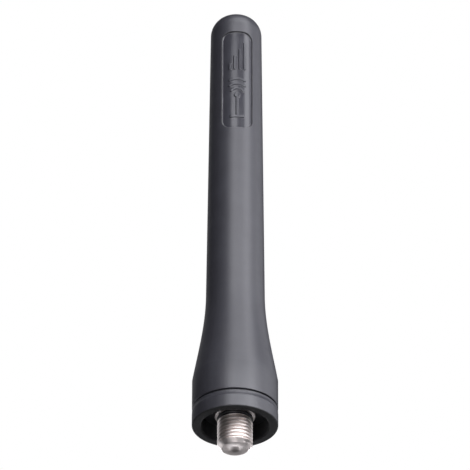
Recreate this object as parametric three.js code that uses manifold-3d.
// Stubby helical antenna for a handheld two-way radio or scanner.
// Millimetres, +Z towards the tip. z = 0 is the rim that seats on the radio's case,
// and the label panel faces -Y.

import * as THREE from "three";
import { mergeVertices } from "three/addons/utils/BufferGeometryUtils.js";
import Module from "manifold-3d";

const wasm = await Module();
wasm.setup();

// ---------------------------------------------------------------------------
// Driving dimensions
// ---------------------------------------------------------------------------

// Clearances between pieces
const seatGap = 0.05; // between faces that rest on each other
const fitGap = 0.05; // radial, between round pieces that fit together
const windGap = 0.15; // radial, from the ferrule and the core to the wire
const turnGap = 0.1; // between neighbouring closed turns

// Sheath: bell, shaft and domed tip
const tipHeight = 87.76;
const baseRadius = 7.7;
const bellHeight = 9.2; // top of the cylindrical part of the bell
const flareTop = 26.75; // where the flare has become the shaft
const flareSlope = 0.173; // radius lost per mm just above the bell
const shaftTaper = 0.575; // radius lost from the flare to the dome
const domeHeight = 4.0;
const domeFullness = 0.8; // 1 is a plain ellipse, less is squarer
const sheathTipWall = 1.01; // rubber outside the sleeve at the dome
const tipWall = 5.86; // rubber above the tip plug

// Label panel, sunk into the sheath
const labelLength = 21.5;
const labelWidth = 5.76;
const labelCorner = 1.7;
const labelDepth = 0.3;
const labelBelowTip = 5.76;

// Emblem on the panel: a mast, the waves it sends out and a row of rising bars
const emblemRelief = 0.2;
const emblemStroke = 0.58;
const emblemHalfWidth = 1.45; // to the middle of the outermost strokes
const mastHeight = 5.0; // from the foot to the middle of the ball
const ballRadius = 0.62;
const waveCount = 3;
const firstWaveRadius = 1.55;
const waveSpacing = 1.05;
const widestWaveAngle = THREE.MathUtils.degToRad(50); // either side of the mast
const barCount = 4;
const barFootHeight = 10.7; // above the foot of the mast
const tallestBar = 6.3;

// Base ring and the groove above it
const recessDepth = 3.05; // from the rim to the insert's face
const ringOverlap = 0.31; // of the ring's bore over the insert
const ringWall = 1.62;
const rimFillet = 0.3;
const rimChamfer = 0.2;
const grooveDepth = 0.35;

// Insert, the hard core of the base
const webThickness = 0.2; // the web whose edge is the floor of the groove
const shoulderInset = 1.5; // from the bell's outside to the insert's shoulder
const shoulderHeight = 1.99;
const keyWall = 0.9; // outside the corners of the stud's hexagon
const keyStep = 0.7; // from the key's neck to its head
const keyNeckLength = 2.1;
const keyHeadLength = 2.0;
const hexPocketDepth = 2.6;

// Threaded stud, 1/4-36 UNS
const threadDiameter = 6.35;
const threadPitch = 0.7056;
const threadDepth = 0.433;
const studProjection = 4.49; // below the rim
const endChamfer = 0.75;
const dimpleRadius = 1.15;
const dimpleDepth = 0.22;
const neckUndercut = 0.14; // below the root of the thread
const threadRunOut = 0.2;
const flangeStep = 0.475; // flange beyond the thread's crests
const flangeThickness = 1.1;
const hexInset = 0.25; // hexagon's corners inside the flange's edge
const shankRadius = 2.0;
const spigotRadius = 1.4;
const spigotLength = 3.2;

// Seal in the stud's neck
const sealSection = 0.6;

// Ferrule and solder, which join the wire to the stud
const ferruleWall = 0.9;
const ferruleHeight = 4.6;
const ferruleRimWidth = 0.75;
const ferruleRimHeight = 0.6;
const solderWidth = 0.6;
const solderHeight = 0.4;

// Wire helix, its core and its sleeve
const wireDiameter = 0.8;
const openPitch = 3.5;
const closedTurnsBelow = 3;
const closedTurnsAbove = 1;
const sleeveWall = 0.3;
const sleeveGap = 0.1;
const coreSpigotRadius = 1.2;
const coreSpigotLength = 1.5;

// Tip plug
const plugHeadHeight = 1.2;
const plugSpigotLength = 2.0;

// Facets
const roundSides = 40;
const studSides = 32;
const rowsPerPitch = 5;
const wireSides = 6;
const stepsPerTurn = 12;
const curveSegments = 8;
const flareRows = 9;
const domeRows = 8;
const filletRows = 3;
const chamferRows = 4;

// ---------------------------------------------------------------------------
// Sizes that follow from the driving dimensions
// ---------------------------------------------------------------------------

// Base, from the rim upwards
const ringHeight = recessDepth + ringOverlap;
const recessRadius = baseRadius - ringWall;
const webBottom = ringHeight + seatGap;
const webTop = webBottom + webThickness;
const sheathBottom = webTop + seatGap;
const shoulderRadius = baseRadius - shoulderInset;
const shoulderTop = webTop + shoulderHeight;
const keyHeadBottom = shoulderTop + keyNeckLength;
const insertTop = keyHeadBottom + keyHeadLength;

// Stud
const threadRadius = threadDiameter / 2;
const neckRadius = threadRadius - threadDepth - neckUndercut;
const flangeRadius = threadRadius + flangeStep;
const flangeTop = recessDepth - seatGap;
const flangeBottom = flangeTop - flangeThickness;
const threadTop = flangeBottom - sealSection - 2 * seatGap;
const hexRadius = flangeRadius - hexInset;
const hexTop = recessDepth + hexPocketDepth - seatGap;
const keyNeckRadius = hexRadius + keyWall;
const keyHeadRadius = keyNeckRadius + keyStep;
const spigotBottom = insertTop;
const spigotTop = spigotBottom + spigotLength;

// Winding, from the ferrule outwards
const ferruleBottom = insertTop + seatGap;
const ferruleTop = ferruleBottom + ferruleHeight;
const ferruleRadius = spigotRadius + fitGap + ferruleWall;
const solderBottom = ferruleBottom + ferruleRimHeight + seatGap;
const helixInnerRadius = ferruleRadius + windGap;
const helixMeanRadius = helixInnerRadius + wireDiameter / 2;
const helixOuterRadius = helixInnerRadius + wireDiameter;
const sleeveInnerRadius = helixOuterRadius + sleeveGap;
const sleeveOuterRadius = sleeveInnerRadius + sleeveWall;
const sheathBoreRadius = sleeveOuterRadius + fitGap;
const coreRadius = helixInnerRadius - windGap;

// Top of the stack, from the tip downwards
const boreTop = tipHeight - tipWall;
const plugTop = boreTop - seatGap;
const plugHeadBottom = plugTop - plugHeadHeight;
const plugBottom = plugHeadBottom - plugSpigotLength;
const sleeveBottom = ferruleBottom + ferruleRimHeight + seatGap;
const sleeveTop = plugHeadBottom - seatGap;
const coreBottom = ferruleTop + seatGap;
const coreTop = plugBottom - seatGap;

// Sheath's outside
const shaftTipRadius = sheathBoreRadius + sheathTipWall;
const shaftBaseRadius = shaftTipRadius + shaftTaper;
const domeBottom = tipHeight - domeHeight;
const labelTop = tipHeight - labelBelowTip;
const labelMiddle = labelTop - labelLength / 2;
const emblemFoot = labelMiddle - (barFootHeight + tallestBar) / 2;

// ---------------------------------------------------------------------------
// Materials
// ---------------------------------------------------------------------------

function finish(color, roughness, metalness) {
  return new THREE.MeshStandardMaterial({ color, roughness, metalness });
}

const softRubber = () => finish(0x4a4a4f, 0.62, 0);
const hardNylon = () => finish(0x1c1c1f, 0.5, 0);
const nickel = () => finish(0xc9c4bd, 0.24, 1);
const sealRubber = () => finish(0x0e0e0f, 0.55, 0);
const brass = () => finish(0xb58d3d, 0.3, 1);
const solder = () => finish(0xa9acae, 0.35, 1);
const copperWire = () => finish(0xb46a41, 0.32, 1);
const polyethylene = () => finish(0xe4e1d6, 0.45, 0);
const shrinkTube = () => finish(0x161617, 0.4, 0);
const capNylon = () => finish(0xd8d4c6, 0.5, 0);

// ---------------------------------------------------------------------------
// Shape helpers
// ---------------------------------------------------------------------------

// Turns a profile of [radius, height] points round the Z axis.
function turned(profile, sides = roundSides) {
  const points = profile.map(([r, z]) => new THREE.Vector2(r, z));
  return new THREE.LatheGeometry(points, sides).rotateX(Math.PI / 2);
}

// Extrudes a shape drawn in X and Z towards -Y, from the axis outwards.
function extrudedToFront(shape, depth) {
  const options = { depth, bevelEnabled: false, curveSegments };
  return new THREE.ExtrudeGeometry(shape, options).rotateX(Math.PI / 2);
}

function solidOf(geometry) {
  const bare = geometry.clone();
  bare.deleteAttribute("normal");
  bare.deleteAttribute("uv");
  const merged = mergeVertices(bare, 1e-4);
  return new wasm.Manifold(
    new wasm.Mesh({
      numProp: 3,
      vertProperties: merged.attributes.position.array,
      triVerts: new Uint32Array(merged.index.array),
    }),
  );
}

function geometryOf(solid) {
  const { vertProperties, triVerts } = solid.getMesh();
  const geometry = new THREE.BufferGeometry();
  geometry.setAttribute("position", new THREE.BufferAttribute(vertProperties, 3));
  geometry.setIndex(new THREE.BufferAttribute(triVerts, 1));
  const faceted = geometry.toNonIndexed();
  faceted.computeVertexNormals();
  return faceted;
}

// A hexagonal prism round the Z axis, by its corners' radius.
function hexPrism(cornerRadius, bottom, top) {
  return new THREE.CylinderGeometry(cornerRadius, cornerRadius, top - bottom, 6)
    .rotateX(Math.PI / 2)
    .translate(0, 0, (bottom + top) / 2);
}

// A quarter round from [r0, z0] to [r1, z1] that starts off along the radius.
function quarterRound(r0, z0, r1, z1, rows) {
  return Array.from({ length: rows + 1 }, (_, i) => {
    const angle = (i / rows) * (Math.PI / 2);
    return [r0 + (r1 - r0) * Math.sin(angle), z0 + (z1 - z0) * (1 - Math.cos(angle))];
  });
}

// ---------------------------------------------------------------------------
// Sheath
// ---------------------------------------------------------------------------

// The shaft's outer radius at a height between the flare and the dome.
function shaftRadiusAt(z) {
  const share = (z - flareTop) / (domeBottom - flareTop);
  return shaftBaseRadius - shaftTaper * share;
}

// One smooth curve from the bell's edge to the shaft, tangent to the shaft.
function flareProfile() {
  const third = (flareTop - bellHeight) / 3;
  const shaftSlope = shaftTaper / (domeBottom - flareTop);
  const curve = new THREE.CubicBezierCurve(
    new THREE.Vector2(baseRadius, bellHeight),
    new THREE.Vector2(baseRadius - flareSlope * third, bellHeight + third),
    new THREE.Vector2(shaftBaseRadius + shaftSlope * third, flareTop - third),
    new THREE.Vector2(shaftBaseRadius, flareTop),
  );
  return curve.getPoints(flareRows).map((p) => [p.x, p.y]);
}

function domeProfile() {
  return Array.from({ length: domeRows + 1 }, (_, i) => {
    const angle = (i / domeRows) * (Math.PI / 2);
    const radius = i < domeRows ? shaftTipRadius * Math.cos(angle) ** domeFullness : 0;
    return [radius, domeBottom + domeHeight * Math.sin(angle)];
  });
}

// The insert's shoulder and key, grown by a gap: the sheath is moulded over them.
function keyProfile(gap) {
  return [
    [shoulderRadius + gap, shoulderTop + gap],
    [keyNeckRadius + gap, shoulderTop + gap],
    [keyNeckRadius + gap, keyHeadBottom - gap],
    [keyHeadRadius + gap, keyHeadBottom - gap],
    [keyHeadRadius + gap, insertTop + gap],
  ];
}

function sheathCavity() {
  const mouth = shoulderRadius + fitGap;
  const below = sheathBottom - shoulderHeight; // clear of the sheath's bottom face
  return turned([
    [0, below],
    [mouth, below],
    ...keyProfile(fitGap),
    [sheathBoreRadius, insertTop + fitGap],
    [sheathBoreRadius, boreTop],
    [0, boreTop],
  ]);
}

function labelOutline() {
  const halfWidth = labelWidth / 2;
  const bottom = labelTop - labelLength;
  const right = halfWidth - labelCorner;
  const low = bottom + labelCorner;
  const high = labelTop - labelCorner;
  const quarter = Math.PI / 2;
  return new THREE.Shape()
    .absarc(right, low, labelCorner, -quarter, 0)
    .absarc(right, high, labelCorner, 0, quarter)
    .absarc(-right, high, labelCorner, quarter, 2 * quarter)
    .absarc(-right, low, labelCorner, 2 * quarter, 3 * quarter);
}

// The shaft's own cone, sunk by a depth, over the label's length and a little more.
function sunkShaft(depth) {
  const bottom = labelTop - labelLength - labelCorner;
  const top = labelTop + labelCorner;
  return turned([
    [0, bottom],
    [shaftRadiusAt(bottom) - depth, bottom],
    [shaftRadiusAt(top) - depth, top],
    [0, top],
  ]);
}

function rectangle(x, z, width, height) {
  return new THREE.Shape()
    .moveTo(x - width / 2, z)
    .lineTo(x + width / 2, z)
    .lineTo(x + width / 2, z + height)
    .lineTo(x - width / 2, z + height);
}

// A curved stroke above a centre, like one of the rings of a spreading wave.
function waveStroke(centreHeight, radius) {
  const spread = Math.min(Math.asin(Math.min(emblemHalfWidth / radius, 1)), widestWaveAngle);
  const from = Math.PI / 2 - spread;
  const to = Math.PI / 2 + spread;
  return new THREE.Shape()
    .absarc(0, centreHeight, radius + emblemStroke / 2, from, to)
    .absarc(0, centreHeight, radius - emblemStroke / 2, to, from, true);
}

function mastShapes() {
  const postBottom = emblemFoot + emblemStroke / 2;
  return [
    rectangle(0, emblemFoot, 2 * emblemHalfWidth, emblemStroke),
    rectangle(0, postBottom, emblemStroke, emblemFoot + mastHeight - postBottom),
    new THREE.Shape().absarc(0, emblemFoot + mastHeight, ballRadius, 0, 2 * Math.PI),
  ];
}

function waveShapes() {
  return Array.from({ length: waveCount }, (_, i) =>
    waveStroke(emblemFoot + mastHeight, firstWaveRadius + i * waveSpacing),
  );
}

function barShapes() {
  const barSpacing = (2 * emblemHalfWidth) / (barCount - 1);
  return Array.from({ length: barCount }, (_, i) => {
    const height = (tallestBar * (i + 1)) / barCount;
    const x = i * barSpacing - emblemHalfWidth;
    return rectangle(x, emblemFoot + barFootHeight, emblemStroke, height);
  });
}

// All the emblem's strokes as one solid, from the axis out to the front.
function emblemPrism(depth) {
  return [...mastShapes(), ...waveShapes(), ...barShapes()]
    .map((shape) => solidOf(extrudedToFront(shape, depth)))
    .reduce((joined, stroke) => joined.add(stroke));
}

function sheath() {
  const body = solidOf(
    turned([
      [0, sheathBottom],
      [baseRadius, sheathBottom],
      ...flareProfile(),
      ...domeProfile(),
    ]),
  );
  const labelPrism = solidOf(extrudedToFront(labelOutline(), baseRadius));
  const pocket = labelPrism.subtract(solidOf(sunkShaft(labelDepth)));
  const emblemTop = solidOf(sunkShaft(labelDepth - emblemRelief));
  const emblem = emblemPrism(baseRadius).intersect(emblemTop);
  return geometryOf(body.subtract(pocket).add(emblem).subtract(solidOf(sheathCavity())));
}

// ---------------------------------------------------------------------------
// Base
// ---------------------------------------------------------------------------

function baseRing() {
  return turned([
    [recessRadius, ringHeight],
    [recessRadius, rimChamfer],
    [recessRadius + rimChamfer, 0],
    ...quarterRound(baseRadius - rimFillet, 0, baseRadius, rimFillet, filletRows),
    [baseRadius, ringHeight],
    [recessRadius, ringHeight],
  ]);
}

function baseInsert() {
  const body = turned([
    [0, recessDepth],
    [recessRadius - fitGap, recessDepth],
    [recessRadius - fitGap, webBottom],
    [baseRadius - grooveDepth, webBottom],
    [baseRadius - grooveDepth, webTop],
    [shoulderRadius, webTop],
    ...keyProfile(0),
    [0, insertTop],
  ]);
  const above = insertTop + keyHeadLength; // clear of the insert's top face
  const below = recessDepth - hexPocketDepth; // clear of its bottom face
  const shankBore = turned([
    [0, recessDepth],
    [shankRadius + fitGap, recessDepth],
    [shankRadius + fitGap, above],
    [0, above],
  ]);
  const pocketTop = recessDepth + hexPocketDepth;
  const hexPocket = hexPrism(hexRadius + fitGap, below, pocketTop);
  return geometryOf(solidOf(body).subtract(solidOf(shankBore).add(solidOf(hexPocket))));
}

// ---------------------------------------------------------------------------
// Threaded stud and seal
// ---------------------------------------------------------------------------

// The thread's height above its root, as a share of its depth, after so many pitches.
// The crest's flat is an eighth of the pitch and the root's flat a quarter.
function threadRise(pitches) {
  const halfCrest = 1 / 16;
  const halfRoot = 1 / 8;
  const fromCrest = Math.abs(THREE.MathUtils.euclideanModulo(pitches, 1) - 0.5);
  const rise = (0.5 - halfRoot - fromCrest) / (0.5 - halfRoot - halfCrest);
  return THREE.MathUtils.clamp(rise, 0, 1);
}

// Sinks the points of the plain bar between the crests of a right-hand thread.
function cutThread(bar, top) {
  const position = bar.getAttribute("position");
  const rootRadius = threadRadius - threadDepth;
  for (let i = 0; i < position.count; i += 1) {
    const x = position.getX(i);
    const y = position.getY(i);
    const z = position.getZ(i);
    const radius = Math.hypot(x, y);
    if (z < top && radius > rootRadius) {
      const turn = Math.atan2(y, x) / (2 * Math.PI);
      const cut = rootRadius + threadDepth * threadRise(z / threadPitch - turn);
      const scale = Math.min(cut, radius) / radius;
      position.setXY(i, x * scale, y * scale);
    }
  }
  return bar;
}

function threadedStud() {
  const end = -studProjection;
  const faceRadius = threadRadius - endChamfer;
  const threadBottom = end + endChamfer;
  const threadLength = threadTop - threadRunOut - threadBottom;
  const rows = Math.ceil((threadLength / threadPitch) * rowsPerPitch);
  const chamfer = Array.from({ length: chamferRows }, (_, i) => {
    const along = (endChamfer * i) / chamferRows;
    return [faceRadius + along, end + along];
  });
  const thread = Array.from({ length: rows + 1 }, (_, i) => [
    threadRadius,
    threadBottom + (threadLength * i) / rows,
  ]);
  const turnedBar = turned(
    [
      [0, end + dimpleDepth],
      [dimpleRadius / 2, end + dimpleDepth * 0.75],
      [dimpleRadius, end],
      ...chamfer,
      ...thread,
      [neckRadius, threadTop],
      [neckRadius, flangeBottom],
      [flangeRadius, flangeBottom],
      [flangeRadius, flangeTop],
      [shankRadius, flangeTop],
      [shankRadius, spigotBottom],
      [spigotRadius, spigotBottom],
      [spigotRadius, spigotTop],
      [0, spigotTop],
    ],
    studSides,
  );
  const bar = solidOf(cutThread(turnedBar, threadTop - seatGap));
  const hexagon = solidOf(hexPrism(hexRadius, flangeTop - flangeThickness / 2, hexTop));
  return geometryOf(bar.add(hexagon));
}

// An O-ring in the stud's neck, against the flange.
function sealRing() {
  const radius = sealSection / 2;
  const middle = neckRadius + fitGap + radius;
  const height = flangeBottom - seatGap - radius;
  const steps = 8;
  return turned(
    Array.from({ length: steps + 1 }, (_, i) => {
      const angle = ((i % steps) / steps) * 2 * Math.PI;
      return [middle + radius * Math.cos(angle), height + radius * Math.sin(angle)];
    }),
    studSides,
  );
}

// ---------------------------------------------------------------------------
// Radiator: ferrule, solder, helix, core, sleeve and plug
// ---------------------------------------------------------------------------

function coilFerrule() {
  const bore = spigotRadius + fitGap;
  const rimRadius = ferruleRadius + ferruleRimWidth;
  const rimTop = ferruleBottom + ferruleRimHeight;
  return turned([
    [0, spigotTop + seatGap],
    [bore, spigotTop + seatGap],
    [bore, ferruleBottom],
    [rimRadius, ferruleBottom],
    [rimRadius, rimTop],
    [ferruleRadius, rimTop],
    [ferruleRadius, ferruleTop],
    [0, ferruleTop],
  ]);
}

function solderRing() {
  const inner = ferruleRadius + fitGap;
  return turned([
    [inner, solderBottom + solderHeight],
    [inner, solderBottom],
    [inner + solderWidth, solderBottom],
    [inner + solderWidth / 3, solderBottom + solderHeight],
    [inner, solderBottom + solderHeight],
  ]);
}

// The wire's middle line: closed turns, the open winding, then closed turns again.
class WindingCurve extends THREE.Curve {
  constructor() {
    super();
    this.closedPitch = wireDiameter + turnGap;
    this.bottom = solderBottom + solderHeight + seatGap + wireDiameter / 2;
    this.top = coreTop - wireDiameter / 2;
    const closedTurns = closedTurnsBelow + closedTurnsAbove;
    const openHeight = this.top - this.bottom - closedTurns * this.closedPitch;
    this.openTurns = openHeight / openPitch;
    this.turns = closedTurns + this.openTurns;
    this.arcLengthDivisions = Math.ceil(this.turns * 2 * stepsPerTurn);
  }

  getPoint(t, target = new THREE.Vector3()) {
    const turn = t * this.turns;
    const below = Math.min(turn, closedTurnsBelow);
    const open = Math.min(Math.max(turn - closedTurnsBelow, 0), this.openTurns);
    const above = Math.max(turn - closedTurnsBelow - this.openTurns, 0);
    const angle = turn * 2 * Math.PI;
    return target.set(
      helixMeanRadius * Math.cos(angle),
      helixMeanRadius * Math.sin(angle),
      this.bottom + (below + above) * this.closedPitch + open * openPitch,
    );
  }
}

function helixRadiator() {
  const curve = new WindingCurve();
  const corner = (i) => (i / wireSides) * 2 * Math.PI;
  const radius = wireDiameter / 2;
  const section = new THREE.Shape(
    Array.from(
      { length: wireSides },
      (_, i) => new THREE.Vector2(radius * Math.cos(corner(i)), radius * Math.sin(corner(i))),
    ),
  );
  return new THREE.ExtrudeGeometry(section, {
    steps: Math.ceil(curve.turns * stepsPerTurn),
    extrudePath: curve,
    bevelEnabled: false,
  });
}

function coreRod() {
  return turned(
    [
      [0, coreBottom],
      [coreRadius, coreBottom],
      [coreRadius, coreTop],
      [coreSpigotRadius, coreTop],
      [coreSpigotRadius, coreTop + coreSpigotLength],
      [0, coreTop + coreSpigotLength],
    ],
    studSides,
  );
}

function shrinkSleeve() {
  return turned([
    [sleeveInnerRadius, sleeveTop],
    [sleeveInnerRadius, sleeveBottom],
    [sleeveOuterRadius, sleeveBottom],
    [sleeveOuterRadius, sleeveTop],
    [sleeveInnerRadius, sleeveTop],
  ]);
}

function tipPlug() {
  const bore = coreSpigotRadius + fitGap;
  const boreEnd = coreTop + coreSpigotLength + seatGap;
  const spigot = sleeveInnerRadius - fitGap;
  return turned([
    [0, boreEnd],
    [bore, boreEnd],
    [bore, plugBottom],
    [spigot, plugBottom],
    [spigot, plugHeadBottom],
    [sleeveOuterRadius, plugHeadBottom],
    [sleeveOuterRadius, plugTop],
    [0, plugTop],
  ]);
}

// ---------------------------------------------------------------------------
// Assembly
// ---------------------------------------------------------------------------

const pieces = [
  ["sheath", sheath(), softRubber()],
  ["base_ring", baseRing(), softRubber()],
  ["base_insert", baseInsert(), hardNylon()],
  ["threaded_stud", threadedStud(), nickel()],
  ["seal_ring", sealRing(), sealRubber()],
  ["coil_ferrule", coilFerrule(), brass()],
  ["solder_ring", solderRing(), solder()],
  ["helix_radiator", helixRadiator(), copperWire()],
  ["core_rod", coreRod(), polyethylene()],
  ["shrink_sleeve", shrinkSleeve(), shrinkTube()],
  ["tip_plug", tipPlug(), capNylon()],
];

const antenna = new THREE.Group();
antenna.name = "stubby_antenna";
for (const [name, geometry, material] of pieces) {
  const mesh = new THREE.Mesh(geometry, material);
  mesh.name = name;
  antenna.add(mesh);
}

export default antenna;
